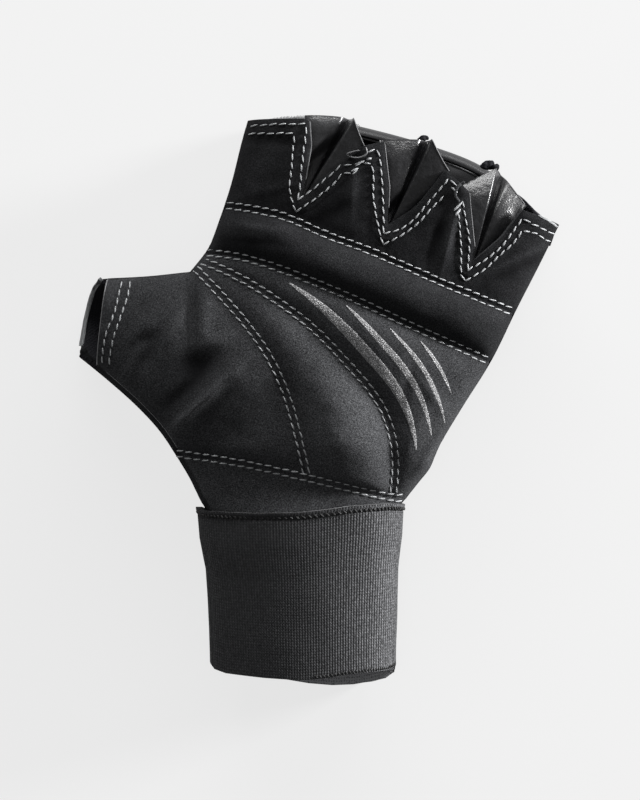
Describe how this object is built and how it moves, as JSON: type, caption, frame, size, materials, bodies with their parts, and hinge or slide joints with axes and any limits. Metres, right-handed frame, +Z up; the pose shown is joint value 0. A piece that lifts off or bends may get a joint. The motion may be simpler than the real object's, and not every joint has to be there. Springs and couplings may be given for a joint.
{
  "type": "boxing inner glove",
  "caption": "Fingerless boxing inner glove with padded suede palm, short open fingers and thumb, leather finger gussets and a wide elastic cuff.",
  "frame": {"origin": "middle of the glove's outline in plan, on the surface that it lies on", "axes": "+X towards the little finger, +Y from the wrist to the fingertips, +Z up out of the palm"},
  "size_m": [0.1729, 0.2048, 0.0336],
  "materials": {
    "suede": "charcoal suede with a short nap, light grey double stitching and glossy grip stripes",
    "stretch_cloth": "black matt knitted stretch cloth",
    "smooth_leather": "black smooth leather with a soft sheen",
    "woven_elastic": "charcoal ribbed woven elastic"
  },
  "bodies": {
    "root": {"palm_finger_panel": "suede", "palm_roll": "suede", "palm_centre": "suede", "heel_crescent": "suede", "thumb_front": "suede", "wrist_front": "suede", "thumb_back": "stretch_cloth", "back_hand": "stretch_cloth", "gusset_index_middle": "smooth_leather", "gusset_middle_ring": "smooth_leather", "gusset_ring_little": "smooth_leather", "knuckle_pad": "smooth_leather", "cuff": "woven_elastic"}
  },
  "joints": []
}
